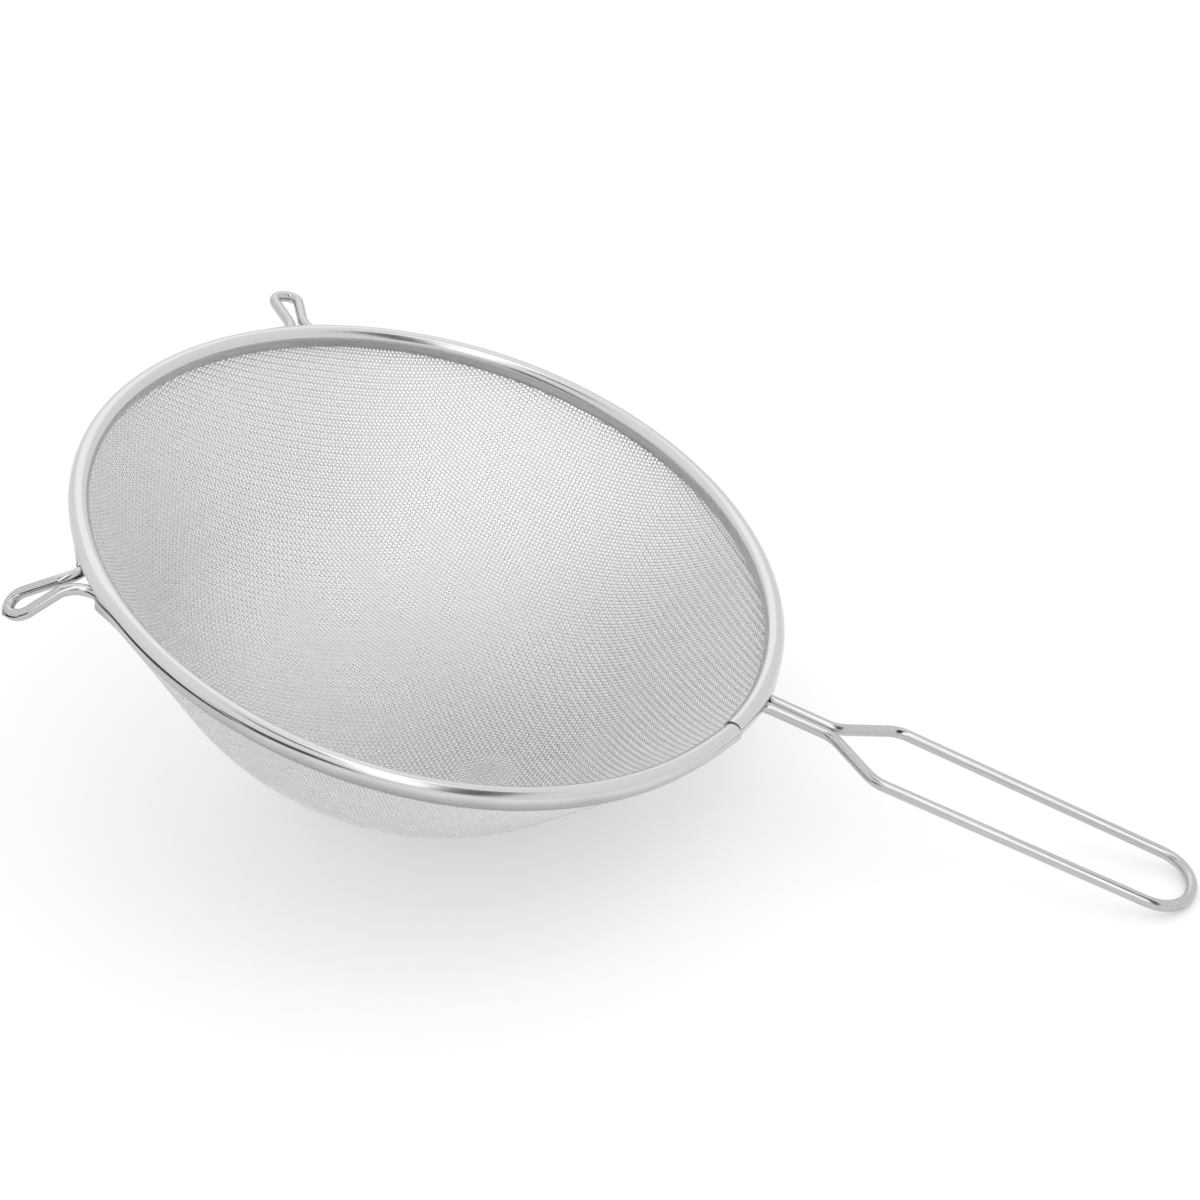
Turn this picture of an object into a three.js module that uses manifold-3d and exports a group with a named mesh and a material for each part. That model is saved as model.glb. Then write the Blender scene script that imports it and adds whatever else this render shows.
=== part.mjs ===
// Kitchen sieve: a woven wire bowl clamped in a rolled rim band, round a wire frame
// that is bent out into two rest ears and a long loop handle. It lies on a table,
// on the bowl and on the end of the handle. Millimetres, +Z up, +X towards the handle.
import * as THREE from 'three';
import { mergeVertices } from 'three/addons/utils/BufferGeometryUtils.js';
import Module from 'manifold-3d';

const wasm = await Module();
wasm.setup();

// Rim band, a strip of sheet rolled over the frame wire and the hem of the cloth
const rimDiameter = 250;
const bandSheet = 0.4;
const bandHeight = 8.2;
const seamAngle = -11.2;
const seamGap = 0.4;

// Frame wire and the clearance that pieces keep where they touch
const frameWire = 4;
const wireDrop = 5.2;
const seatGap = 0.25;

// Woven bowl, as the sheet of cloth that the wires fill, with a coarse grid of openings for its mesh
const clothThickness = 0.8;
const hemDepth = 2.2;
const wallStart = 6.2;
const wallSlope = 52.1;
const bowlDepth = 92.5;
const bottomBulge = 7.75;
const shoulderShare = 0.635;
const restFlat = 0.45;
const meshCount = 12;
const meshOpenShare = 0.7;
const meshMargin = 7;

// Handle loop, lengths from the outside of the rim
const handleLength = 154.3;
const handleNeckLength = 25;
const handleSpreadLength = 19;
const handleWidth = 30.8;
const handleEndWidth = 27.7;
const handleBend = 11.5;
const handleEndBend = 10.6;
const handleFootBend = 6;

// Rest ears, lengths from the outside of the rim
const earLength = 25.8;
const earNeckLength = 7.5;
const earWidth = 10.2;
const earEndBend = 4.4;
const earFootBend = 11;
const earDroopStart = 3;
const earDroopBend = 14;

// Each loop of the frame: where it leaves the rim, where it points and how far it is bent down
const handlePlace = { root: 0, direction: 0, droop: 0 };
const leftEarPlace = { root: -135.8, direction: -140, droop: 28 };
const rightEarPlace = { root: 135.5, direction: 128.5, droop: 0 };

// Gap between two strands that run side by side, and the length of each foot in the band
const strandGap = 0.4;
const footLength = 9;

// Fineness of the round forms
const rimSegments = 72;
const wireSides = 10;
const hoopStep = 5;
const bendStep = 18;
const bowlStep = 7;
const crownStep = 22.5;
const weld = 1e-3;

// Sizes that follow from those above
const rimRadius = rimDiameter / 2;
const wireRadius = frameWire / 2;
const bandWidth = 2 * bandSheet + frameWire + clothThickness + 3 * seatGap;
const hemOutside = rimRadius - bandSheet - seatGap;
const hemInside = hemOutside - clothThickness;
const hoopRadius = hemInside - seatGap - wireRadius;
const neckHalf = (frameWire + strandGap) / 2;
const radians = THREE.MathUtils.degToRad;
const degrees = THREE.MathUtils.radToDeg;

// The dished bottom's round would pass the line of the straight wall by bottomBulge,
// and the shoulder between the two has a share of its radius
const slope = radians(wallSlope);
const wallReach = hemOutside * Math.sin(slope) - (bowlDepth - wallStart) * Math.cos(slope);
const bottomRadius = (wallReach + bottomBulge) / (1 - Math.cos(slope));
const shoulderRadius = shoulderShare * bottomRadius;

// Turn of the whole sieve about Y that sets the bowl and the handle's end on one plane
const bottomCentre = bottomRadius - bowlDepth;
const handleEnd = rimRadius + handleLength;
const endDrop = bottomCentre + wireDrop;
const restTilt =
  Math.asin((bottomRadius - restFlat - wireRadius) / Math.hypot(endDrop, handleEnd)) -
  Math.atan2(endDrop, handleEnd);
const restHeight = handleEnd * Math.sin(restTilt) + wireDrop * Math.cos(restTilt) + wireRadius;

// A closed geometry as a solid for cutting, and a solid as a geometry
function solidOf(geometry) {
  const bare = geometry.clone();
  bare.deleteAttribute('normal');
  bare.deleteAttribute('uv');
  const merged = mergeVertices(bare, weld);
  const vertProperties = merged.attributes.position.array;
  const triVerts = new Uint32Array(merged.index.array);
  return new wasm.Manifold(new wasm.Mesh({ numProp: 3, vertProperties, triVerts }));
}

function geometryOf(solid) {
  const mesh = solid.getMesh();
  const geometry = new THREE.BufferGeometry();
  geometry.setAttribute('position', new THREE.BufferAttribute(mesh.vertProperties, 3));
  geometry.setIndex(new THREE.BufferAttribute(mesh.triVerts, 1));
  geometry.computeVertexNormals();
  return geometry;
}

// Points along an arc, from one angle to another in degrees, measured from straight down
function arcPoints(centreR, centreZ, radius, from, to, stepDegrees) {
  const steps = Math.max(1, Math.ceil(Math.abs(to - from) / stepDegrees));
  return Array.from({ length: steps + 1 }, (_, i) => {
    const angle = radians(THREE.MathUtils.lerp(from, to, i / steps));
    return new THREE.Vector2(centreR + radius * Math.sin(angle), centreZ - radius * Math.cos(angle));
  });
}

// Ring or bowl turned round the rim's axis from a profile of radius and height
function turned(profile) {
  return new THREE.LatheGeometry(profile, rimSegments).rotateX(Math.PI / 2);
}

// One side of the cloth, inset from its outside, from the bottom of the bowl up to the hem's cut edge:
// a dished bottom, a rounder shoulder, a straight wall and an upright hem
function clothSide(inset) {
  const wallFoot = new THREE.Vector2(-Math.cos(slope), -Math.sin(slope));
  const inward = new THREE.Vector2(-Math.sin(slope), Math.cos(slope));
  const hemR = hemOutside - inset;
  const kneeZ = -wallStart + inset * Math.tan((Math.PI / 2 - slope) / 2);
  const knee = new THREE.Vector2(hemR, kneeZ);
  const dish = new THREE.Vector2(0, bottomCentre);
  const dishRadius = bottomRadius - inset;
  const roundRadius = shoulderRadius - inset;
  // The shoulder's centre keeps its radius from the wall and touches the dish from inside
  const start = knee.clone().addScaledVector(inward, roundRadius).sub(dish);
  const along = start.dot(wallFoot);
  const reach = Math.sqrt(along ** 2 - start.lengthSq() + (dishRadius - roundRadius) ** 2) - along;
  const shoulder = start.clone().addScaledVector(wallFoot, reach).add(dish);
  const joinAngle = degrees(Math.atan2(shoulder.x, dish.y - shoulder.y));
  return [
    ...arcPoints(dish.x, dish.y, dishRadius, 0, joinAngle, bowlStep),
    ...arcPoints(shoulder.x, shoulder.y, roundRadius, joinAngle, wallSlope, bowlStep).slice(1),
    knee,
    new THREE.Vector2(hemR, -hemDepth),
  ];
}

function bowlGeometry() {
  const outside = clothSide(0);
  const inside = clothSide(clothThickness).reverse();
  return turned([...outside, ...inside]);
}

// Band section: a rounded top and two upright legs, closed on itself
function bandGeometry() {
  const middle = rimRadius - bandWidth / 2;
  const crownZ = -bandWidth / 2;
  const outer = arcPoints(middle, crownZ, bandWidth / 2, 90, 270, crownStep);
  const inner = arcPoints(middle, crownZ, bandWidth / 2 - bandSheet, 270, 90, crownStep);
  const outerFoot = new THREE.Vector2(rimRadius, -bandHeight);
  const innerFoot = new THREE.Vector2(rimRadius - bandWidth, -bandHeight);
  return turned([
    outerFoot,
    ...outer,
    innerFoot,
    new THREE.Vector2(innerFoot.x + bandSheet, -bandHeight),
    ...inner,
    new THREE.Vector2(outerFoot.x - bandSheet, -bandHeight),
    outerFoot.clone(),
  ]);
}

// Box that reaches outward from the hoop at an angle round the rim
function radialBox(angle, inner, outer, width, bottom, top) {
  const box = new THREE.BoxGeometry(outer - inner, width, top - bottom);
  box.translate((inner + outer) / 2, 0, (top + bottom) / 2);
  return solidOf(box.rotateZ(radians(angle)));
}

// Room for a loop's two strands where they leave the hoop, from one height to another
function notch({ place, footBend }, bottom, top) {
  const width = 2 * (neckHalf + footBend);
  return radialBox(place.root, hoopRadius, rimRadius + wireRadius, width, bottom, top);
}

// Wire that follows flat curves, with steps where it bends, lifted into place by a function
class BentWire extends THREE.Curve {
  constructor(runs, lift) {
    super();
    this.runs = runs;
    this.lift = lift;
    this.steps = runs.reduce((sum, run) => sum + run.steps, 0);
  }

  getPoint(t) {
    let step = t * this.steps;
    let i = 0;
    while (i < this.runs.length - 1 && step > this.runs[i].steps) {
      step -= this.runs[i].steps;
      i += 1;
    }
    const run = this.runs[i];
    return this.lift(run.curve.getPoint(Math.min(step / run.steps, 1)));
  }

  getPointAt(t) {
    return this.getPoint(t);
  }

  getTangentAt(t) {
    return this.getTangent(t);
  }

  getSpacedPoints(divisions) {
    return this.getPoints(divisions);
  }

  geometry() {
    const corner = (_, i) => {
      const angle = ((i + 0.5) / wireSides) * 2 * Math.PI;
      return new THREE.Vector2(wireRadius * Math.cos(angle), wireRadius * Math.sin(angle));
    };
    const section = new THREE.Shape(Array.from({ length: wireSides }, corner));
    const settings = { steps: this.steps, extrudePath: this, bevelEnabled: false };
    return new THREE.ExtrudeGeometry(section, settings);
  }
}

// Straight run, and arc run from one angle to another in radians
function line(from, to) {
  return { curve: new THREE.LineCurve(from, to), steps: 1 };
}

function arc(centre, radius, from, to, stepDegrees) {
  const curve = new THREE.EllipseCurve(centre.x, centre.y, radius, radius, from, to, to < from);
  return { curve, steps: Math.max(1, Math.ceil(degrees(Math.abs(to - from)) / stepDegrees)) };
}

// Runs through corner points, each rounded by its own radius
function roundedRuns(corners) {
  const runs = [];
  let from = corners[0].point;
  for (let i = 1; i < corners.length - 1; i += 1) {
    const { point, radius } = corners[i];
    const back = corners[i - 1].point.clone().sub(point).normalize();
    const ahead = corners[i + 1].point.clone().sub(point).normalize();
    const half = Math.acos(back.dot(ahead)) / 2;
    const start = point.clone().addScaledVector(back, radius / Math.tan(half));
    const centre = back.clone().add(ahead).normalize().multiplyScalar(radius / Math.sin(half)).add(point);
    const side = Math.sign(ahead.cross(back));
    const startAngle = start.clone().sub(centre).angle();
    runs.push(line(from, start));
    runs.push(arc(centre, radius, startAngle, startAngle + side * (Math.PI - 2 * half), bendStep));
    from = point.clone().addScaledVector(ahead, radius / Math.tan(half));
  }
  runs.push(line(from, corners.at(-1).point));
  return runs;
}

// Frame loop in its own flat frame, X along its axis, from the rim's centre.
// offset is how far the axis passes the rim's centre; the strands bend out of the hoop on both sides.
function loopRuns(offset, footBend, outline) {
  const foot = (side) => {
    const y = offset + side * (neckHalf + footBend);
    const centre = new THREE.Vector2(Math.sqrt((hoopRadius + footBend) ** 2 - y ** 2), y);
    return { centre, angle: centre.angle(), neck: new THREE.Vector2(centre.x, offset + side * neckHalf) };
  };
  const near = foot(1);
  const far = foot(-1);
  far.angle -= far.angle > Math.PI ? 2 * Math.PI : 0;
  const hub = new THREE.Vector2(0, 0);
  const footAngle = footLength / hoopRadius;
  const corner = (side) => ({ x, half, radius }) => {
    return { point: new THREE.Vector2(x, offset + side * half), radius };
  };
  const corners = [
    { point: near.neck },
    ...outline.map(corner(1)),
    ...outline.toReversed().map(corner(-1)),
    { point: far.neck },
  ];
  const runs = [
    arc(hub, hoopRadius, near.angle + footAngle, near.angle, hoopStep),
    arc(near.centre, footBend, near.angle - Math.PI, -Math.PI / 2, bendStep),
    ...roundedRuns(corners),
    arc(far.centre, footBend, Math.PI / 2, far.angle + Math.PI, bendStep),
    arc(hub, hoopRadius, far.angle, far.angle - footAngle, hoopStep),
  ];
  return { runs, from: far.angle - footAngle, to: near.angle + footAngle };
}

// Carries a loop's flat points to the hoop's plane, bent down past droopStart, then turned to its direction
function loopLift(place) {
  const droop = radians(place.droop);
  const turn = radians(place.direction);
  const droopStart = rimRadius + earDroopStart;
  return (flat) => {
    const past = Math.max(0, flat.x - droopStart);
    const bent = Math.min(past / earDroopBend, droop);
    const straight = past - bent * earDroopBend;
    const out = past > 0 ? droopStart + earDroopBend * Math.sin(bent) + straight * Math.cos(bent) : flat.x;
    const down = earDroopBend * (1 - Math.cos(bent)) + straight * Math.sin(bent);
    const point = new THREE.Vector3(out, flat.y, -wireDrop - down);
    return point.applyAxisAngle(new THREE.Vector3(0, 0, 1), turn);
  };
}

function frameLoop(place, footBend, outline) {
  const offset = rimRadius * Math.sin(radians(place.root - place.direction));
  const { runs, from, to } = loopRuns(offset, footBend, outline);
  const turn = radians(place.direction);
  return { wire: new BentWire(runs, loopLift(place)), from: from + turn, to: to + turn };
}

// Length of hoop between the feet of two loops, butted to both with the seat gap
function hoopBetween(from, to) {
  const gap = seatGap / hoopRadius;
  const hub = new THREE.Vector2(0, 0);
  const lift = (flat) => new THREE.Vector3(flat.x, flat.y, -wireDrop);
  return new BentWire([arc(hub, hoopRadius, from + gap, to - gap, hoopStep)], lift);
}

const handleOutline = [
  { x: rimRadius + handleNeckLength, half: neckHalf, radius: handleBend },
  { x: rimRadius + handleNeckLength + handleSpreadLength, half: handleWidth / 2, radius: handleBend },
  { x: handleEnd, half: handleEndWidth / 2, radius: handleEndBend },
];
const earOutline = [
  { x: rimRadius + earNeckLength, half: neckHalf, radius: earFootBend },
  { x: rimRadius + earLength, half: earWidth / 2, radius: earEndBend },
];
const handle = frameLoop(handlePlace, handleFootBend, handleOutline);
const leftEar = frameLoop(leftEarPlace, earFootBend, earOutline);
const rightEar = frameLoop(rightEarPlace, earFootBend, earOutline);

// Steel of the wires, of the rolled band and of the cloth
const wireSteel = new THREE.MeshStandardMaterial({ color: 0xcdced0, roughness: 0.25, metalness: 1 });
const bandSteel = new THREE.MeshStandardMaterial({ color: 0xd2d3d4, roughness: 0.18, metalness: 1 });
const clothSteel = new THREE.MeshStandardMaterial({ color: 0xc4c5c7, roughness: 0.35, metalness: 1 });

const sieve = new THREE.Group();
function addPiece(name, geometry, material) {
  const mesh = new THREE.Mesh(geometry, material.clone());
  mesh.name = name;
  sieve.add(mesh);
}

// Table under the lying sieve, in the sieve's own frame: it flattens the bowl a little where it rests
function tableSolid() {
  const table = new THREE.BoxGeometry(bottomRadius, bottomRadius, bottomRadius);
  table.translate(0, 0, -bottomRadius / 2 - (bottomRadius - restFlat));
  return solidOf(table.rotateY(-restTilt).translate(0, 0, bottomCentre));
}

// Grid of openings, square in plan and cut off round the rim, with bars that cross in the middle
function meshOpenings() {
  const reach = hemInside - meshMargin;
  const pitch = (2 * reach) / meshCount;
  const side = meshOpenShare * pitch;
  const opening = new THREE.BoxGeometry(side, side, 2 * bowlDepth);
  const openings = [];
  for (let i = 0.5 - meshCount / 2; i < meshCount / 2; i += 1) {
    for (let j = 0.5 - meshCount / 2; j < meshCount / 2; j += 1) {
      const [x, y] = [i * pitch, j * pitch];
      if (Math.hypot(x, y) < reach) openings.push(solidOf(opening.clone().translate(x, y, -bowlDepth)));
    }
  }
  const round = new THREE.CylinderGeometry(reach, reach, 4 * bowlDepth, rimSegments).rotateX(Math.PI / 2);
  return wasm.Manifold.union(openings).intersect(solidOf(round));
}

// The band's outer leg is open below the strands, and the hem is cut away round them
const loops = [
  { place: handlePlace, footBend: handleFootBend },
  { place: leftEarPlace, footBend: earFootBend },
  { place: rightEarPlace, footBend: earFootBend },
];
const strandTop = -wireDrop + wireRadius + seatGap;
const strandBottom = -wireDrop - wireRadius - seatGap;
const seam = radialBox(
  seamAngle, rimRadius - 2 * bandWidth, rimRadius + bandWidth, seamGap, -2 * bandHeight, bandHeight);
let cutBand = solidOf(bandGeometry()).subtract(seam);
let cutBowl = solidOf(bowlGeometry()).subtract(tableSolid()).subtract(meshOpenings());
for (const loop of loops) {
  cutBand = cutBand.subtract(notch(loop, -2 * bandHeight, strandTop));
  cutBowl = cutBowl.subtract(notch(loop, strandBottom, 0));
}

addPiece('mesh_bowl', geometryOf(cutBowl), clothSteel);
addPiece('rim_band', geometryOf(cutBand), bandSteel);
addPiece('handle_wire', handle.wire.geometry(), wireSteel);
addPiece('left_ear', leftEar.wire.geometry(), wireSteel);
addPiece('right_ear', rightEar.wire.geometry(), wireSteel);
addPiece('left_hoop', hoopBetween(leftEar.to, handle.from).geometry(), wireSteel);
addPiece('right_hoop', hoopBetween(handle.to, rightEar.from).geometry(), wireSteel);
addPiece('front_hoop', hoopBetween(rightEar.to, leftEar.from + 2 * Math.PI).geometry(), wireSteel);

// The sieve lies on the plane Z = 0, and its box is centred over the origin
sieve.rotation.y = restTilt;
sieve.position.z = restHeight;
const span = new THREE.Box3().setFromObject(sieve, true);
sieve.position.x = -(span.min.x + span.max.x) / 2;

const part = new THREE.Group();
part.add(sieve);

export default part;
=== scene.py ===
import math
import bmesh
import bpy
import numpy as np
from mathutils import Matrix, Vector


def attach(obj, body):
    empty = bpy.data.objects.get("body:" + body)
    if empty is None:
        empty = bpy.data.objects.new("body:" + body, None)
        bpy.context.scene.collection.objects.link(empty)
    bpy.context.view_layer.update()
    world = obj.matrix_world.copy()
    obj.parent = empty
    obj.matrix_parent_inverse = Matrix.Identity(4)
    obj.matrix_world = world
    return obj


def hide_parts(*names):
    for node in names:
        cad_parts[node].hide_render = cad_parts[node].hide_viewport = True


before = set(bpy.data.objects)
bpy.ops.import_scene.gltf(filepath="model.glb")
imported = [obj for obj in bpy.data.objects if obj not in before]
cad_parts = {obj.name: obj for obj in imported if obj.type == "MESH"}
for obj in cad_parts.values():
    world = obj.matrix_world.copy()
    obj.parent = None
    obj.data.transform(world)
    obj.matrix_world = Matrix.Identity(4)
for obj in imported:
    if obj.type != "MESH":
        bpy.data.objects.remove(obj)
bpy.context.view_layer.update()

# The sieve is modelled in millimetres with its rim level and centred, then laid down as it rests
mm = 0.001
mergeDistance = 0.001  # in millimetres
tiny = 1e-6            # keeps a division finite at the middle of the bowl
rim = {
    "centre": (-72.1373, 0.0, 94.2842),  # middle of the rim's top plane, once it lies
    "tilt": 18.22373,                    # turn about Y at which bowl and handle touch the table
    "radius": 125.0,
    "wire": 4.0,                         # thickness of the frame wire
    "wireDrop": 5.2,                     # from the rim's top to the middle of the frame wire
    "hoop": 121.3,                       # radius of the hoop that runs hidden in the band
}
layDown = (Matrix.Translation(Vector(rim["centre"]) * mm)
           @ Matrix.Rotation(math.radians(rim["tilt"]), 4, "Y")
           @ Matrix.Scale(mm, 4))


def inRadians(angles):
    return [math.radians(angle) for angle in angles]


def startFresh():
    if bpy.context.mode != "OBJECT":
        bpy.ops.object.mode_set(mode="OBJECT")
    bpy.ops.object.select_all(action="DESELECT")


def onlySelect(piece):
    startFresh()
    piece.select_set(True)
    bpy.context.view_layer.objects.active = piece


def applyModifier(piece, modifier):
    onlySelect(piece)
    bpy.ops.object.modifier_apply(modifier=modifier.name)


def applyPlace(piece):
    onlySelect(piece)
    bpy.ops.object.transform_apply(location=True, rotation=True, scale=True)


def smoothBelow(piece, angle):
    onlySelect(piece)
    bpy.ops.object.shade_smooth_by_angle(angle=math.radians(angle))


# A bent tube can come out of the normals operator inside out, which its volume shows
def faceOutwards(piece):
    probe = bmesh.new()
    probe.from_mesh(piece.data)
    insideOut = probe.calc_volume(signed=True) < 0
    probe.free()
    if insideOut:
        piece.data.flip_normals()


def layPiece(piece):
    piece.matrix_world = layDown
    applyPlace(piece)


def finishPiece(piece, material, slotName, *nodes):
    piece.data.materials.clear()
    piece.data.materials.append(material)
    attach(piece, "root")
    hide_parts(*nodes)
    print("made", piece.name, len(piece.data.polygons), "faces")


# Materials
steel = {"Metallic": 1.0}
noiseSpan = (0.3, 0.7)  # noise textures seldom leave this span
bumpStrength = 0.2


def newMaterial(name, settings):
    material = bpy.data.materials.new(name)
    material.use_nodes = True
    shader = material.node_tree.nodes["Principled BSDF"]
    for label, value in settings.items():
        shader.inputs[label].default_value = value
    return material, material.node_tree, shader


def feedShader(tree, shader, sources):
    for label, source in sources.items():
        tree.links.new(source, shader.inputs[label])


# Math node whose inputs are other nodes' outputs or plain numbers
def mathOn(tree, operation, *sources):
    node = tree.nodes.new("ShaderNodeMath")
    node.operation = operation
    for socket, source in zip(node.inputs, sources):
        if isinstance(source, float):
            socket.default_value = source
        else:
            tree.links.new(source, socket)
    return node.outputs[0]


def combineOn(tree, *sources):
    node = tree.nodes.new("ShaderNodeCombineXYZ")
    for socket, source in zip(node.inputs, sources):
        tree.links.new(source, socket)
    return node.outputs[0]


def noiseOn(tree, vector, scale, detail):
    noise = tree.nodes.new("ShaderNodeTexNoise")
    noise.inputs["Scale"].default_value = scale
    noise.inputs["Detail"].default_value = detail
    tree.links.new(vector, noise.inputs["Vector"])
    return noise.outputs["Fac"]


def rangeOn(tree, source, fromSpan, toSpan):
    spread = tree.nodes.new("ShaderNodeMapRange")
    labels = ("From Min", "From Max", "To Min", "To Max")
    for label, value in zip(labels, (*fromSpan, *toSpan)):
        spread.inputs[label].default_value = value
    tree.links.new(source, spread.inputs["Value"])
    return spread.outputs["Result"]


def rampOn(tree, source, stops):
    ramp = tree.nodes.new("ShaderNodeValToRGB")
    elements = ramp.color_ramp.elements
    while len(elements) < len(stops):
        elements.new(0.5)
    for element, (position, color) in zip(elements, stops):
        element.position = position
        element.color = (*color, 1)
    tree.links.new(source, ramp.inputs["Fac"])
    return ramp.outputs["Color"]


def tintOn(tree, source, dark, light):
    return rampOn(tree, source, list(zip(noiseSpan, (dark, light))))


def bumpOn(tree, source, depth):
    bump = tree.nodes.new("ShaderNodeBump")
    bump.inputs["Strength"].default_value = bumpStrength
    bump.inputs["Distance"].default_value = depth
    tree.links.new(source, bump.inputs["Height"])
    return bump.outputs["Normal"]


# Object coordinates turned back to the level rim, in millimetres
def rimSpot(tree):
    place = tree.nodes.new("ShaderNodeTexCoord")
    mapping = tree.nodes.new("ShaderNodeMapping")
    mapping.vector_type = "TEXTURE"
    mapping.inputs["Location"].default_value = layDown.translation
    mapping.inputs["Rotation"].default_value = (0, math.radians(rim["tilt"]), 0)
    mapping.inputs["Scale"].default_value = (mm, mm, mm)
    tree.links.new(place.outputs["Object"], mapping.inputs["Vector"])
    return mapping.outputs["Vector"]


# Rolled rim band. Feet are given as radius and height, noises as scale and detail
band = {
    "sheet": 0.4,
    "beadRadius": 3.43,
    "beadStep": 8,
    "beadUnder": 42,               # degrees that the bead turns in below its widest place
    "outerFoot": (122.65, -8.55),  # lower edge of the outer leg
    "innerFoot": (119.3, -7.3),
    "innerTurn": 100,              # degrees that it turns in over the bowl before the inner leg
    "innerBulge": 0.04,
    "innerSteps": 5,
    "turnSteps": 240,
    "seamAngle": -11.2,
    "seamGap": 0.35,
    "seamSink": 0.5,               # the strip's near end lies lower and further out than the other
    "seamShift": 0.5,
    "seamReach": 8.0,              # degrees over which it sinks
    "flareReach": 16.0,
    "notchTop": -3.0,
    "notchTall": 12.0,
    "notchPast": 6.0,              # how far the cutter stands out past the rim
    "notchRound": 1.2,
    "notchSegments": 4,
    "smoothAngle": 35,
}
bandFinish = {
    "leg": (0.34, 0.34, 0.35),
    "bead": (0.61, 0.61, 0.62),
    "legShade": (0.1, 0.6),          # painted shade: the legs are coloured darker than the bead, standing in for the shaded table they reflect
    "insideShadeLift": 0.22,            # the leg over the bowl gets less of that painted shade than the outer one
    "cloudShare": 0.3,
    "cloudNoise": (0.05, 3.0),
    "lineNoise": (5.0, 4.0),
    "lineDepth": 0.00002,
    "rough": (0.16, 0.24),
}


def bandSteel():
    material, tree, shader = newMaterial("rolledBandSteel", steel)
    spot = rimSpot(tree)
    split = tree.nodes.new("ShaderNodeSeparateXYZ")
    tree.links.new(spot, split.inputs[0])
    x, y, z = split.outputs
    length = tree.nodes.new("ShaderNodeVectorMath")
    length.operation = "LENGTH"
    tree.links.new(combineOn(tree, x, y), length.inputs[0])
    reach = length.outputs["Value"]
    turn = mathOn(tree, "ARCTAN2", y, x)
    # fast across the strip and slow along it: rolling lines
    lines = noiseOn(tree, combineOn(tree, reach, z, turn), *bandFinish["lineNoise"])
    clouds = noiseOn(tree, spot, *bandFinish["cloudNoise"])
    # painted shade: the colour darkens towards the feet of the legs, most on the outer leg,
    # standing in for the shaded table it reflects; the clouds are the steel's own uneven tone
    legSpan = (band["innerFoot"][1], -band["beadRadius"] / 2)
    level = rangeOn(tree, z, legSpan, bandFinish["legShade"])
    shade = mathOn(tree, "MULTIPLY_ADD", clouds, bandFinish["cloudShare"], level)
    insideSpan = (band["innerFoot"][0], rim["radius"] - band["beadRadius"])
    inside = rangeOn(tree, reach, insideSpan, (bandFinish["insideShadeLift"], 0.0))
    tone = mathOn(tree, "ADD", shade, inside)
    feedShader(tree, shader, {
        "Base Color": tintOn(tree, tone, bandFinish["leg"], bandFinish["bead"]),
        "Roughness": rangeOn(tree, lines, noiseSpan, bandFinish["rough"]),
        "Normal": bumpOn(tree, lines, bandFinish["lineDepth"]),
    })
    return material


# The section of the band's outside, which is spun round the rim and given the sheet's thickness
def bandSection():
    radius = band["beadRadius"]
    middleR, middleZ = rim["radius"] - radius, -radius
    under, inner = 90 + band["beadUnder"], -band["innerTurn"]
    steps = round((under - inner) / band["beadStep"])
    angles = inRadians(under + (inner - under) * step / steps for step in range(steps + 1))
    bead = [(middleR + radius * math.sin(a), middleZ + radius * math.cos(a)) for a in angles]
    begin, end = Vector(bead[-1]), Vector(band["innerFoot"])
    across = Vector((begin.y - end.y, end.x - begin.x)) * -band["innerBulge"]
    leg = []
    for step in range(1, band["innerSteps"] + 1):
        t = step / band["innerSteps"]
        leg.append(tuple(begin.lerp(end, t) + across * 4 * t * (1 - t)))
    return [band["outerFoot"], *bead, *leg]


def sinkSeamEnd(piece):
    for vertex in piece.data.vertices:
        angle = math.degrees(math.atan2(vertex.co.y, vertex.co.x))
        behind = (band["seamAngle"] - angle) / band["seamReach"]
        if 0 < behind < 1:
            ease = (1 - behind) ** 2
            vertex.co.z -= band["seamSink"] * ease
            outward = 1 + band["seamShift"] * ease / rim["radius"]
            vertex.co.x, vertex.co.y = vertex.co.x * outward, vertex.co.y * outward


# The outer leg stands off where a loop pushes out through it
def flareLeg(piece, loop):
    for vertex in piece.data.vertices:
        reach = math.hypot(vertex.co.x, vertex.co.y)
        angle = math.radians(loop["root"]) - math.atan2(vertex.co.y, vertex.co.x)
        beyond = abs(rim["radius"] * math.sin(angle)) - loop["notch"] / 2
        outside = reach > rim["radius"] - band["beadRadius"] and math.cos(angle) > 0
        if outside and beyond < band["flareReach"]:
            ease = (1 - max(beyond, 0) / band["flareReach"]) ** 2
            outward = 1 + loop["flare"] * ease * vertex.co.z / band["outerFoot"][1] / reach
            vertex.co.x, vertex.co.y = vertex.co.x * outward, vertex.co.y * outward


# Opening in the outer leg where two strands of the frame come out
def cutNotch(piece, loop):
    startFresh()
    deep, tall = rim["radius"] + band["notchPast"] - rim["hoop"], band["notchTall"]
    bpy.ops.mesh.primitive_cube_add(size=1)
    cutter = bpy.context.object
    cutter.scale = (deep, loop["notch"], tall)
    cutter.location = (rim["hoop"] + deep / 2, 0, band["notchTop"] - tall / 2)
    applyPlace(cutter)
    corner = cutter.modifiers.new("corner", "BEVEL")
    corner.width = band["notchRound"]
    corner.segments = band["notchSegments"]
    applyModifier(cutter, corner)
    cutter.rotation_euler.z = math.radians(loop["root"])
    applyPlace(cutter)
    cut = piece.modifiers.new("notch", "BOOLEAN")
    cut.operation = "DIFFERENCE"
    cut.object = cutter
    applyModifier(piece, cut)
    bpy.data.objects.remove(cutter)


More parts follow.
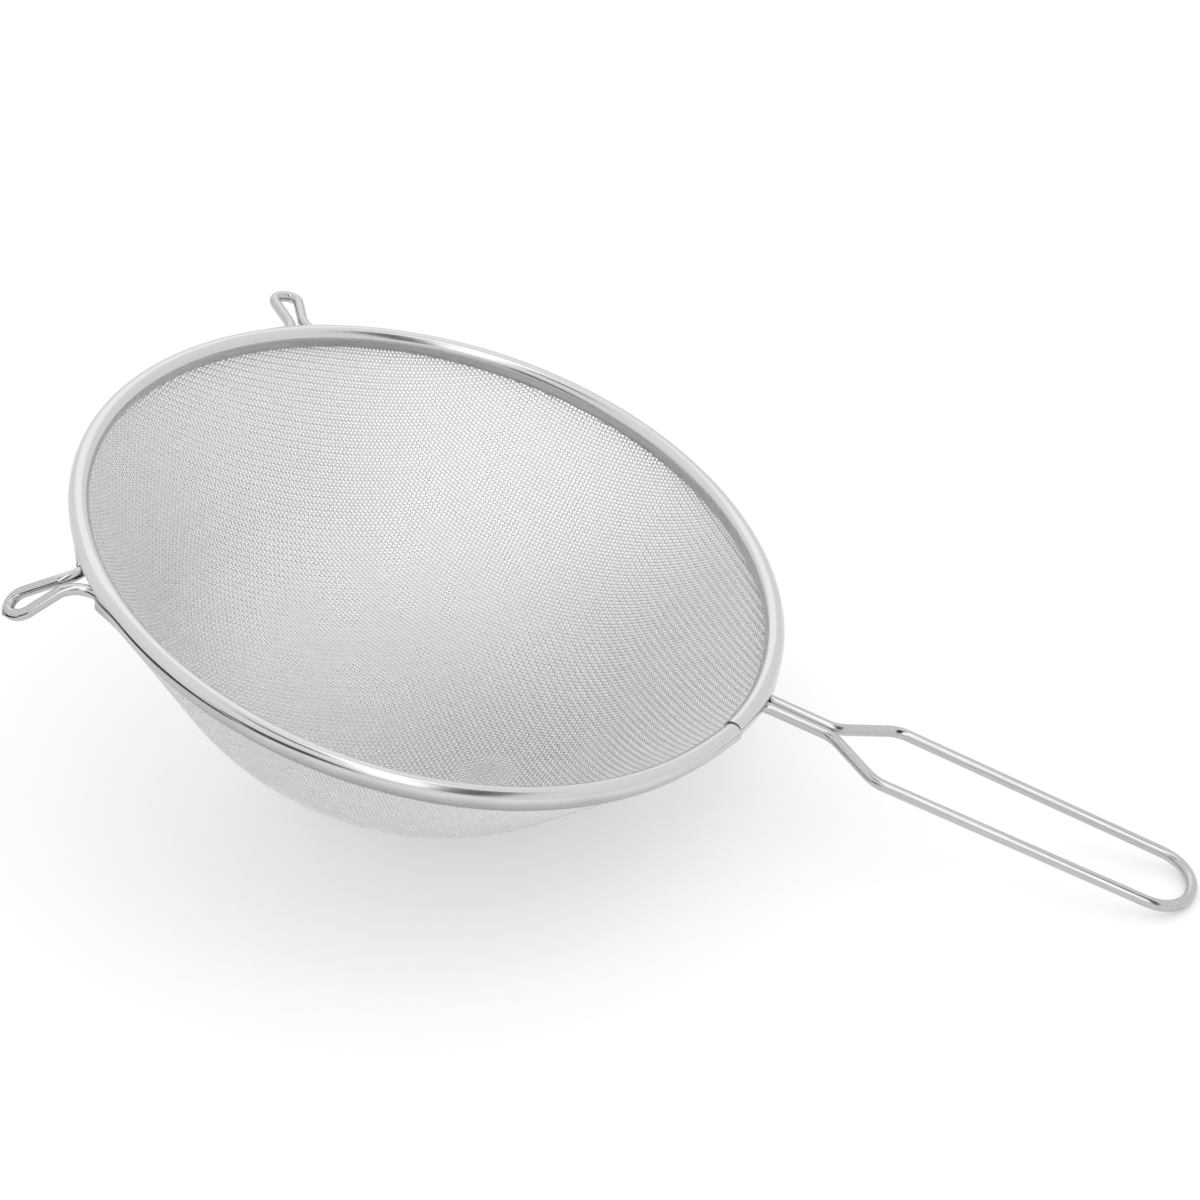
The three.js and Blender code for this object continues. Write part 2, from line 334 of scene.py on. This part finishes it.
def makeBand(loops):
    startFresh()
    section = bandSection()
    bpy.ops.mesh.primitive_plane_add(size=1)
    piece = bpy.context.object
    piece.name = "rim_band_sheet"
    bpy.ops.object.mode_set(mode="EDIT")
    bpy.ops.mesh.merge(type="CENTER")
    bpy.ops.transform.translate(value=(section[0][0], 0, section[0][1]))
    for here, there in zip(section, section[1:]):
        step = (there[0] - here[0], 0, there[1] - here[1])
        bpy.ops.mesh.extrude_region_move(TRANSFORM_OT_translate={"value": step})
    bpy.ops.mesh.select_all(action="SELECT")
    gap = math.degrees(band["seamGap"] / rim["radius"])
    bpy.ops.mesh.spin(steps=band["turnSteps"], angle=-math.radians(360 - gap),
                      center=(0, 0, 0), axis=(0, 0, 1))
    bpy.ops.mesh.select_all(action="SELECT")
    bpy.ops.mesh.remove_doubles(threshold=mergeDistance)
    bpy.ops.mesh.normals_make_consistent(inside=False)
    bpy.ops.object.mode_set(mode="OBJECT")
    piece.rotation_euler.z = math.radians(band["seamAngle"] + gap / 2)
    applyPlace(piece)
    sinkSeamEnd(piece)
    for loop in loops:
        flareLeg(piece, loop)
    wall = piece.modifiers.new("sheet", "SOLIDIFY")
    wall.thickness = band["sheet"]
    wall.offset = -1
    wall.use_even_offset = True
    applyModifier(piece, wall)
    for loop in loops:
        cutNotch(piece, loop)
    smoothBelow(piece, band["smoothAngle"])
    return piece


# Frame wire: a ring is extruded along the straight runs and spun round the bends.
# Corners are given as distance past the rim, half width and bend radius
wire = {
    "sides": 20,
    "bendStep": 7.5,
    "hoopStep": 2.5,
    "footLength": 9.0,
    "droopStart": 3.0,
    "droopBend": 14.0,
    "smoothAngle": 40,
}
handle = {
    "root": 0.0, "direction": 0.0, "droop": 0.0, "footBend": 6.0, "strandGap": 0.4,
    "notch": 12.6, "flare": 1.4,
    "corners": [(25.0, None, 11.5), (44.0, 15.4, 11.5), (154.3, 13.85, 13.4)],
}
leftEar = {
    "root": -134.35, "direction": -141.36, "droop": 35.4, "footBend": 12.0, "strandGap": 1.2,
    "notch": 17.6, "flare": 3.0,
    "corners": [(8.3, None, 5.8), (26.9, 5.95, 5.7)],
}
rightEar = {
    "root": 135.14, "direction": 130.53, "droop": 0.0, "footBend": 10.7, "strandGap": 1.7,
    "notch": 17.6, "flare": 3.0,
    "corners": [(7.0, None, 11.0), (21.9, 5.1, 3.7)],
}
wireFinish = {
    "dark": (0.46, 0.46, 0.47),
    "light": (0.55, 0.55, 0.56),
    "markStretch": (0.06, 2.2, 2.2),  # draw marks run along the strands
    "markNoise": (1.0, 4.0),
    "markDepth": 0.000004,
    "cloudNoise": (0.09, 2.0),
    "rough": (0.12, 0.2),
}


def wireSteel():
    material, tree, shader = newMaterial("drawnWireSteel", steel)
    spot = rimSpot(tree)
    stretch = tree.nodes.new("ShaderNodeMapping")
    stretch.inputs["Scale"].default_value = wireFinish["markStretch"]
    tree.links.new(spot, stretch.inputs["Vector"])
    marks = noiseOn(tree, stretch.outputs[0], *wireFinish["markNoise"])
    clouds = noiseOn(tree, spot, *wireFinish["cloudNoise"])
    feedShader(tree, shader, {
        "Base Color": tintOn(tree, marks, wireFinish["dark"], wireFinish["light"]),
        "Roughness": rangeOn(tree, clouds, noiseSpan, wireFinish["rough"]),
        "Normal": bumpOn(tree, marks, wireFinish["markDepth"]),
    })
    return material


# Path of a loop in its own frame, X along it: straight runs as vectors, bends as centre and turn
def loopPath(loop):
    neck = (rim["wire"] + loop["strandGap"]) / 2
    offset = rim["radius"] * math.sin(math.radians(loop["root"] - loop["direction"]))
    bend = loop["footBend"]

    def foot(side):
        y = offset + side * (neck + bend)
        centre = Vector((math.sqrt((rim["hoop"] + bend) ** 2 - y ** 2), y))
        return centre, math.atan2(centre.y, centre.x), Vector((centre.x, offset + side * neck))

    nearCentre, nearAngle, nearNeck = foot(1)
    farCentre, farAngle, farNeck = foot(-1)
    footTurn = wire["footLength"] / rim["hoop"]
    start = nearAngle + footTurn
    hub = Vector((0, 0))
    runs = [("bend", hub, -footTurn), ("bend", nearCentre, math.pi / 2 - nearAngle)]
    outline = [(Vector((rim["radius"] + past, offset + (half or neck))), radius)
               for past, half, radius in loop["corners"]]
    outline += [(Vector((point.x, 2 * offset - point.y)), radius)
                for point, radius in reversed(outline)]
    spots = [nearNeck, *[point for point, radius in outline], farNeck]
    here = nearNeck
    for before, (point, radius), after in zip(spots, outline, spots[2:]):
        back, ahead = (before - point).normalized(), (after - point).normalized()
        half = back.angle(ahead) / 2
        begin = point + back * (radius / math.tan(half))
        centre = point + (back + ahead).normalized() * (radius / math.sin(half))
        side = math.copysign(1, ahead.x * back.y - ahead.y * back.x)
        runs += [("straight", begin - here), ("bend", centre, side * (math.pi - 2 * half))]
        here = point + ahead * (radius / math.tan(half))
    runs += [("straight", farNeck - here), ("bend", farCentre, farAngle + math.pi / 2)]
    runs += [("bend", hub, -footTurn)]
    begin = Vector((rim["hoop"] * math.cos(start), rim["hoop"] * math.sin(start)))
    return begin, start - math.pi / 2, runs


# Bends a finished loop downwards past a line outside the rim
def droopLoop(piece, loop):
    droop, bend = math.radians(loop["droop"]), wire["droopBend"]
    line = rim["radius"] + wire["droopStart"]
    for vertex in piece.data.vertices:
        past = vertex.co.x - line
        if past > 0:
            turn = min(past / bend, droop)
            straight, lift = past - turn * bend, vertex.co.z
            sink = bend * (1 - math.cos(turn))
            vertex.co.x = line + (bend + lift) * math.sin(turn) + straight * math.cos(turn)
            vertex.co.z = lift * math.cos(turn) - sink - straight * math.sin(turn)


def makeLoop(name, loop):
    startFresh()
    begin, heading, runs = loopPath(loop)
    bpy.ops.mesh.primitive_circle_add(vertices=wire["sides"], radius=rim["wire"] / 2,
                                      location=(*begin, 0), rotation=(0, math.pi / 2, heading))
    piece = bpy.context.object
    piece.name = name
    applyPlace(piece)
    bpy.ops.object.mode_set(mode="EDIT")
    bpy.ops.mesh.select_all(action="SELECT")
    for kind, *values in runs:
        if kind == "straight":
            step = (*values[0], 0)
            bpy.ops.mesh.extrude_region_move(TRANSFORM_OT_translate={"value": step})
        else:
            centre, turn = values
            fine = wire["hoopStep"] if centre.length == 0 else wire["bendStep"]
            steps = max(1, math.ceil(math.degrees(abs(turn)) / fine))
            bpy.ops.mesh.spin(steps=steps, angle=-turn, center=(*centre, 0), axis=(0, 0, 1))
    bpy.ops.mesh.select_all(action="SELECT")
    bpy.ops.mesh.remove_doubles(threshold=mergeDistance)
    bpy.ops.mesh.fill_holes(sides=0)
    bpy.ops.mesh.select_all(action="SELECT")
    bpy.ops.mesh.normals_make_consistent(inside=False)
    bpy.ops.object.mode_set(mode="OBJECT")
    droopLoop(piece, loop)
    faceOutwards(piece)
    piece.location.z = -rim["wireDrop"]
    piece.rotation_euler.z = math.radians(loop["direction"])
    applyPlace(piece)
    smoothBelow(piece, wire["smoothAngle"])
    return piece


bandPiece = makeBand([handle, leftEar, rightEar])
layPiece(bandPiece)
finishPiece(bandPiece, bandSteel(), "rim_sheet", "rim_band")
steelOfWire = wireSteel()
for name, loop, node in (("handle_loop", handle, "handle_wire"),
                         ("left_rest_ear", leftEar, "left_ear"),
                         ("right_rest_ear", rightEar, "right_ear")):
    loopPiece = makeLoop(name, loop)
    layPiece(loopPiece)
    finishPiece(loopPiece, steelOfWire, "frame_wire", node)
for node in ("left_hoop", "right_hoop", "front_hoop"):
    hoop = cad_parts[node]
    hoop.data.materials.clear()
    hoop.data.materials.append(steelOfWire)
print("band and frame ready")

# Woven bowl: plain weave of straight-cut cloth pressed to the bowl, so that its squares shear
# towards the diagonals
cloth = {
    "wire": 0.56,
    "pitchAcross": 1.50,        # along the handle, between wires that run crosswise
    "pitchAlong": 1.35,         # crosswise, between wires that run along the handle
    "turn": -5.5,               # the weave against the handle, in degrees
    "depth": 92.5,
    "bottomRadius": 137.04,
    "shoulderRadius": 87.02,
    "slope": 52.1,
    "wallTop": (124.35, -6.2),  # where the outside of the wall meets the hem
    "edgeRadius": 122.3,        # the wires turn up into the band here
    "edgeRise": 1.2,
    "edgeClear": 0.05,          # crossings nearer to the edge than this are left out
    "spare": 4.0,               # how far the net is worked out past the edge
    "leastCrossings": 3,
    "profilePoints": 4000,
    "fitSteps": 5,
    "sides": 4,
    "swell": 1.2,               # corners of the square section against the wire's own radius
    "bundles": 4,               # pieces that the wires of one direction are shared among
    "stripMargin": 0.04,        # free edge of each wire's strip on the map, as a share of it
}
# Painted shade: the wires are coloured darker where they cross, in the recesses of the weave, and
# lighter on its crowns as a painted highlight
clothFinish = {
    "tones": [
        (0.1, (0.50, 0.50, 0.51)),
        (0.5, (0.85, 0.85, 0.86)),
        (0.95, (0.95, 0.95, 0.96)),
    ],
    "cloudNoise": (0.06, 3.0),
    "rough": (0.24, 0.34),
}


def clothSteel():
    material, tree, shader = newMaterial("wovenWireSteel", steel)
    # painted shade of the weave, read from each corner of the wires
    weaveShade = tree.nodes.new("ShaderNodeAttribute")
    weaveShade.attribute_name = "weaveShade"
    clouds = noiseOn(tree, rimSpot(tree), *clothFinish["cloudNoise"])
    feedShader(tree, shader, {
        "Base Color": rampOn(tree, weaveShade.outputs["Fac"], clothFinish["tones"]),
        "Roughness": rangeOn(tree, clouds, noiseSpan, clothFinish["rough"]),
    })
    return material


# Height of an arc's end under its centre, kept real past the arc, where it isn't used
def arcDrop(radius, out):
    return np.sqrt(np.maximum(radius ** 2 - out ** 2, 1.0))


# Middle surface of the cloth as height over radius: dish, shoulder and straight wall
class ClothShape:
    def __init__(self):
        inset = cloth["wire"]
        slope = math.radians(cloth["slope"])
        inward = np.array((-math.sin(slope), math.cos(slope)))
        foot = -np.array((math.cos(slope), math.sin(slope)))
        top = np.array(cloth["wallTop"]) + inward * inset
        self.dish = np.array((0.0, cloth["bottomRadius"] - cloth["depth"]))
        self.dishRadius = cloth["bottomRadius"] - inset
        self.roundRadius = cloth["shoulderRadius"] - inset
        start = top + inward * self.roundRadius - self.dish
        along = start @ foot
        apart = self.dishRadius - self.roundRadius
        reach = math.sqrt(along ** 2 - start @ start + apart ** 2) - along
        self.round = start + foot * reach + self.dish
        join = math.atan2(self.round[0], self.dish[1] - self.round[1])
        self.joinR = self.dishRadius * math.sin(join)
        self.wallR = self.round[0] + self.roundRadius * math.sin(slope)
        self.wallZ = self.round[1] - self.roundRadius * math.cos(slope)
        self.rise = math.tan(slope)

    def choose(self, r, dish, shoulder, wall):
        return np.where(r < self.joinR, dish, np.where(r < self.wallR, shoulder, wall))

    def height(self, r):
        dish = self.dish[1] - arcDrop(self.dishRadius, r)
        shoulder = self.round[1] - arcDrop(self.roundRadius, r - self.round[0])
        return self.choose(r, dish, shoulder, self.wallZ + (r - self.wallR) * self.rise)

    def steepness(self, r):
        out = r - self.round[0]
        dish = r / arcDrop(self.dishRadius, r)
        return self.choose(r, dish, out / arcDrop(self.roundRadius, out), self.rise)


# One quarter of the net: each crossing keeps both pitches to its two neighbours
def netQuarter(shape, reach):
    fine = np.linspace(0, reach, cloth["profilePoints"])
    steps = np.hypot(np.diff(fine), np.diff(shape.height(fine)))
    walked = np.concatenate(([0], np.cumsum(steps)))
    pitchU, pitchV = cloth["pitchAcross"], cloth["pitchAlong"]
    countU, countV = int(walked[-1] / pitchU) + 1, int(walked[-1] / pitchV) + 1
    net = np.full((countU, countV, 3), np.nan)
    for i in range(countU):
        r = np.interp(i * pitchU, walked, fine)
        net[i, 0] = (r, 0, shape.height(r))
    for j in range(countV):
        r = np.interp(j * pitchV, walked, fine)
        net[0, j] = (0, r, shape.height(r))
    for total in range(2, countU + countV - 1):
        i = np.arange(max(1, total - countV + 1), min(countU, total))
        j = total - i
        left, below, corner = net[i - 1, j], net[i, j - 1], net[i - 1, j - 1]
        spot = (left + below - corner)[:, :2]
        for step in range(cloth["fitSteps"]):
            r = np.hypot(spot[:, 0], spot[:, 1])
            slope = shape.steepness(r)[:, None] * spot / np.maximum(r, tiny)[:, None]
            here = np.column_stack((spot, shape.height(r)))
            gapU, gapV = here - left, here - below
            missU = (gapU ** 2).sum(1) - pitchU ** 2
            missV = (gapV ** 2).sum(1) - pitchV ** 2
            rowU = 2 * (gapU[:, :2] + gapU[:, 2:] * slope)
            rowV = 2 * (gapV[:, :2] + gapV[:, 2:] * slope)
            area = rowU[:, 0] * rowV[:, 1] - rowU[:, 1] * rowV[:, 0]
            spot = spot - np.column_stack((missU * rowV[:, 1] - missV * rowU[:, 1],
                                           missV * rowU[:, 0] - missU * rowV[:, 0])) / area[:, None]
        r = np.hypot(spot[:, 0], spot[:, 1])
        made = np.column_stack((spot, shape.height(r)))
        made[r > reach] = np.nan
        net[i, j] = made
    return net


def wholeNet(quarter):
    half = np.concatenate((quarter[:0:-1] * (-1, 1, 1), quarter))
    return np.concatenate((half[:, :0:-1] * (1, -1, 1), half), axis=1)


# Where a wire reaches the band, between its last crossing inside and the next one
def edgeSpot(shape, inside, outside):
    near, far = math.hypot(*inside[:2]), math.hypot(*outside[:2])
    spot = inside + (outside - inside) * (cloth["edgeRadius"] - near) / (far - near)
    spot[2] = shape.height(cloth["edgeRadius"])
    return spot


# Wire through its crossings, over and under in turn, with a point between each two and its ends
# turned up
def wirePoints(shape, line, overs):
    edge = cloth["edgeRadius"] - cloth["edgeClear"]
    inside = np.flatnonzero(np.hypot(line[:, 0], line[:, 1]) < edge)
    if len(inside) < cloth["leastCrossings"] or inside[0] == 0 or inside[-1] == len(line) - 1:
        return None
    first, last = inside[0], inside[-1]
    start = edgeSpot(shape, line[first], line[first - 1])
    stop = edgeSpot(shape, line[last], line[last + 1])
    core = np.concatenate(([start], line[first:last + 1], [stop]))
    lifts = np.concatenate(([0], overs[first:last + 1], [0])) * cloth["wire"] / 2
    reach = np.hypot(core[:, 0], core[:, 1])
    slope = shape.steepness(reach) / np.maximum(reach, tiny)
    normal = np.column_stack((-slope * core[:, 0], -slope * core[:, 1], np.ones(len(core))))
    normal /= np.linalg.norm(normal, axis=1)[:, None]
    points = np.empty((2 * len(core) - 1, 3))
    normals = np.empty_like(points)
    points[::2], points[1::2] = core + normal * lifts[:, None], (core[:-1] + core[1:]) / 2
    normals[::2], normals[1::2] = normal, normal[:-1] + normal[1:]
    rise = (0, 0, cloth["edgeRise"])
    points = np.concatenate(([points[0] + rise], points, [points[-1] + rise]))
    heights = np.zeros(len(points))
    heights[1:-1:2] = lifts
    return points, np.concatenate((normals[:1], normals, normals[-1:])), heights


# Rings round a wire, and how far each of their corners stands off the middle of the cloth
def tubeOf(points, normals, heights):
    along = np.gradient(points, axis=0)
    along /= np.linalg.norm(along, axis=1)[:, None]
    up = normals - along * (normals * along).sum(1)[:, None]
    up /= np.linalg.norm(up, axis=1)[:, None]
    side = np.cross(along, up)
    angles = (np.arange(cloth["sides"]) + 0.5) / cloth["sides"] * 2 * math.pi
    radius = cloth["wire"] / 2 * cloth["swell"]
    sines, cosines = np.sin(angles)[None, :], np.cos(angles)[None, :]
    ring = up[:, None] * sines[..., None] + side[:, None] * cosines[..., None]
    # painted shade: dark at corners near the middle of the cloth, where the wires cross, and light
    # on the crowns
    weaveShade = np.abs(heights[:, None] + radius * sines) / cloth["wire"]
    return points[:, None] + ring * radius, weaveShade


# One piece of many wires, each with a strip of its own on the map and its two ends closed
def makeWires(name, tubes):
    sides, margin, strip = cloth["sides"], cloth["stripMargin"], 1 / len(tubes)
    verts, quads, spots, base = [], [], [], 0
    for number, (tube, weaveShade) in enumerate(tubes):
        last = len(tube) - 1
        ring, step = np.meshgrid(np.arange(last), np.arange(sides), indexing="ij")
        after = (step + 1) % sides
        begin, end = ring * sides + base, (ring + 1) * sides + base
        faces = np.stack((begin + step, end + step, end + after, begin + after), axis=-1)
        cap = np.arange(sides)
        caps = np.stack((cap + base, cap[::-1] + base + last * sides))
        here, there = ring / last, (ring + 1) / last
        low = (number + margin + (1 - 2 * margin) * step / sides) * strip
        high = low + (1 - 2 * margin) / sides * strip
        corners = np.stack((here, low, there, low, there, high, here, high), axis=-1)
        capSpots = np.repeat(((0, number * strip), (1, number * strip)), sides, axis=0)
        verts.append(tube.reshape(-1, 3))
        quads += [faces.reshape(-1, 4), caps]
        spots += [corners.reshape(-1, 2), capSpots]
        base += len(tube) * sides
    verts, quads, spots = np.concatenate(verts), np.concatenate(quads), np.concatenate(spots)
    mesh = bpy.data.meshes.new(name)
    mesh.vertices.add(len(verts))
    mesh.vertices.foreach_set("co", verts.astype(np.float32).ravel())
    mesh.loops.add(quads.size)
    mesh.loops.foreach_set("vertex_index", quads.astype(np.int32).ravel())
    mesh.polygons.add(len(quads))
    mesh.polygons.foreach_set("loop_start", np.arange(0, quads.size, 4, dtype=np.int32))
    mesh.polygons.foreach_set("use_smooth", np.ones(len(quads), bool))
    mesh.update(calc_edges=True)
    strips = mesh.uv_layers.new(name="OFBake")
    strips.data.foreach_set("uv", spots.astype(np.float32).ravel())
    # the painted shade of the weave is kept on every corner of the wires
    weaveShades = np.concatenate([weaveShade.ravel() for tube, weaveShade in tubes]).astype(np.float32)
    mesh.attributes.new("weaveShade", "FLOAT", "POINT").data.foreach_set("value", weaveShades)
    piece = bpy.data.objects.new(name, mesh)
    bpy.context.collection.objects.link(piece)
    return piece


def weaveCloth():
    shape = ClothShape()
    net = wholeNet(netQuarter(shape, cloth["edgeRadius"] + cloth["spare"]))
    turn = math.radians(cloth["turn"])
    spin = np.array(((math.cos(turn), math.sin(turn), 0),
                     (-math.sin(turn), math.cos(turn), 0),
                     (0, 0, 1)))
    countU, countV = net.shape[:2]
    odd = (np.arange(countU)[:, None] + np.arange(countV)[None, :]) % 2
    overs = np.where(odd, 1.0, -1.0)
    upward = (np.array(layDown.to_3x3()) / mm)[2]  # the table's upward direction, seen from the rim
    # the wires that would sink into the table are lifted to lie on it
    lowest = cloth["wire"] / 2 * (1 + cloth["swell"] * math.sin(math.pi / cloth["sides"]))
    runs = [("long", net[:, j], overs[:, j], j / countV) for j in range(countV)]
    runs += [("cross", net[i], -overs[i], i / countU) for i in range(countU)]
    bundles = {}
    for kind, line, over, share in runs:
        known = ~np.isnan(line[:, 0])
        made = wirePoints(shape, line[known], over[known])
        if made is None:
            continue
        points, normals, heights = made[0] @ spin, made[1] @ spin, made[2]
        sunk = np.maximum(lowest - (points @ upward + rim["centre"][2]), 0)
        tube = tubeOf(points + sunk[:, None] * upward, normals, heights)
        bundles.setdefault((kind, int(share * cloth["bundles"])), []).append(tube)
    return bundles


steelOfCloth = clothSteel()
for (kind, part), tubes in weaveCloth().items():
    clothPiece = makeWires(f"cloth_{kind}_wires_{part + 1}", tubes)
    layPiece(clothPiece)
    finishPiece(clothPiece, steelOfCloth, "woven_mesh", "mesh_bowl")
print("cloth ready")

# Table, light and camera
studio = {
    "room": 1.09,
    "roomTones": [(0.0, (0.9, 0.9, 0.9)), (1.0, (1.0, 1.0, 1.0))],  # horizon, straight above
    "floorSize": 14.0,
    "floorGrey": 0.74,
    "floorGlow": 0.23,
}
paper = {"Roughness": 0.9, "Specular IOR Level": 0.1}
lamps = {
    "keyLamp": {
        "place": (0.57, -0.6, 1.175), "size": (1.95, 0.44), "turn": (-20, 19, -77), "power": 2.4,
    },
    "backLamp": {
        "place": (-0.6, 1.1, 1.3), "size": (1.4, 1.4), "turn": (44, 0, -151), "power": 1.8,
    },
}
# Dark cards round the table, out of sight, that give the steel something to reflect
cards = {
    "leftCard": {
        "place": (-0.31, -0.26, 0.05), "size": (0.3, 0.1), "turn": (90, 0, -70), "grey": 0.02,
    },
    "cornerCard": {
        "place": (-0.125, -0.53, 0.195), "size": (0.375, 0.17), "turn": (90, -24, -7.5),
        "grey": 0.02,
    },
    "topCard": {
        "place": (0.1, -0.45, 1.45), "size": (0.42, 0.4), "turn": (180, 0, 0), "grey": 0.15,
    },
    "sideCard": {
        "place": (1.045, -0.605, 1.147), "size": (2.0, 0.46), "turn": (146, 30, -73), "grey": 0.08,
    },
}
photoCamera = {
    "place": (0.328141, -0.926300, 0.706166),
    "turn": (57.641, 1.8767, 19.0559),
    "lens": 103.896,
    "sensor": 36,
}


def newPaper(name, grey):
    return newMaterial(name, {**paper, "Base Color": (grey, grey, grey, 1)})


# The floor glows a little to the eye and in reflections, so that it is white and keeps its shadow
def makeFloor():
    startFresh()
    bpy.ops.mesh.primitive_plane_add(size=studio["floorSize"])
    floor = bpy.context.object
    floor.name = "floor"
    material, tree, shader = newPaper("paleTable", studio["floorGrey"])
    path = tree.nodes.new("ShaderNodeLightPath")
    seen = path.outputs["Is Camera Ray"]
    for ray in ("Is Glossy Ray", "Is Transmission Ray"):
        seen = mathOn(tree, "MAXIMUM", seen, path.outputs[ray])
    glow = mathOn(tree, "MULTIPLY", seen, studio["floorGlow"])
    shader.inputs["Emission Color"].default_value = (1, 1, 1, 1)
    feedShader(tree, shader, {"Emission Strength": glow})
    floor.data.materials.append(material)


def makeLamp(name, settings):
    data = bpy.data.lights.new(name, "AREA")
    data.shape = "RECTANGLE"
    data.size, data.size_y = settings["size"]
    data.energy = settings["power"]
    lamp = bpy.data.objects.new(name, data)
    lamp.location = settings["place"]
    lamp.rotation_euler = inRadians(settings["turn"])
    bpy.context.collection.objects.link(lamp)


def makeCard(name, card):
    startFresh()
    bpy.ops.mesh.primitive_plane_add(size=1, location=card["place"],
                                     rotation=inRadians(card["turn"]))
    piece = bpy.context.object
    piece.name = name
    piece.scale = (*card["size"], 1)
    applyPlace(piece)
    piece.visible_camera = False
    piece.visible_diffuse = False
    piece.visible_shadow = False
    piece.data.materials.append(newPaper(name + "Paper", card["grey"])[0])


def makeRoom():
    world = bpy.data.worlds.new("room")
    bpy.context.scene.world = world
    world.use_nodes = True
    tree = world.node_tree
    background = tree.nodes["Background"]
    background.inputs["Strength"].default_value = studio["room"]
    place = tree.nodes.new("ShaderNodeTexCoord")
    split = tree.nodes.new("ShaderNodeSeparateXYZ")
    tree.links.new(place.outputs["Generated"], split.inputs[0])
    tones = rampOn(tree, split.outputs["Z"], studio["roomTones"])
    tree.links.new(tones, background.inputs["Color"])


def makeCamera():
    data = bpy.data.cameras.new("photoCamera")
    data.sensor_width = photoCamera["sensor"]
    data.lens = photoCamera["lens"]
    camera = bpy.data.objects.new("photoCamera", data)
    camera.location = photoCamera["place"]
    camera.rotation_euler = inRadians(photoCamera["turn"])
    bpy.context.collection.objects.link(camera)
    bpy.context.scene.camera = camera


makeFloor()
makeRoom()
for name, card in cards.items():
    makeCard(name, card)
for name, settings in lamps.items():
    makeLamp(name, settings)
makeCamera()
bpy.context.scene.view_settings.view_transform = "Standard"
print("stage ready")

bpy.context.view_layer.update()
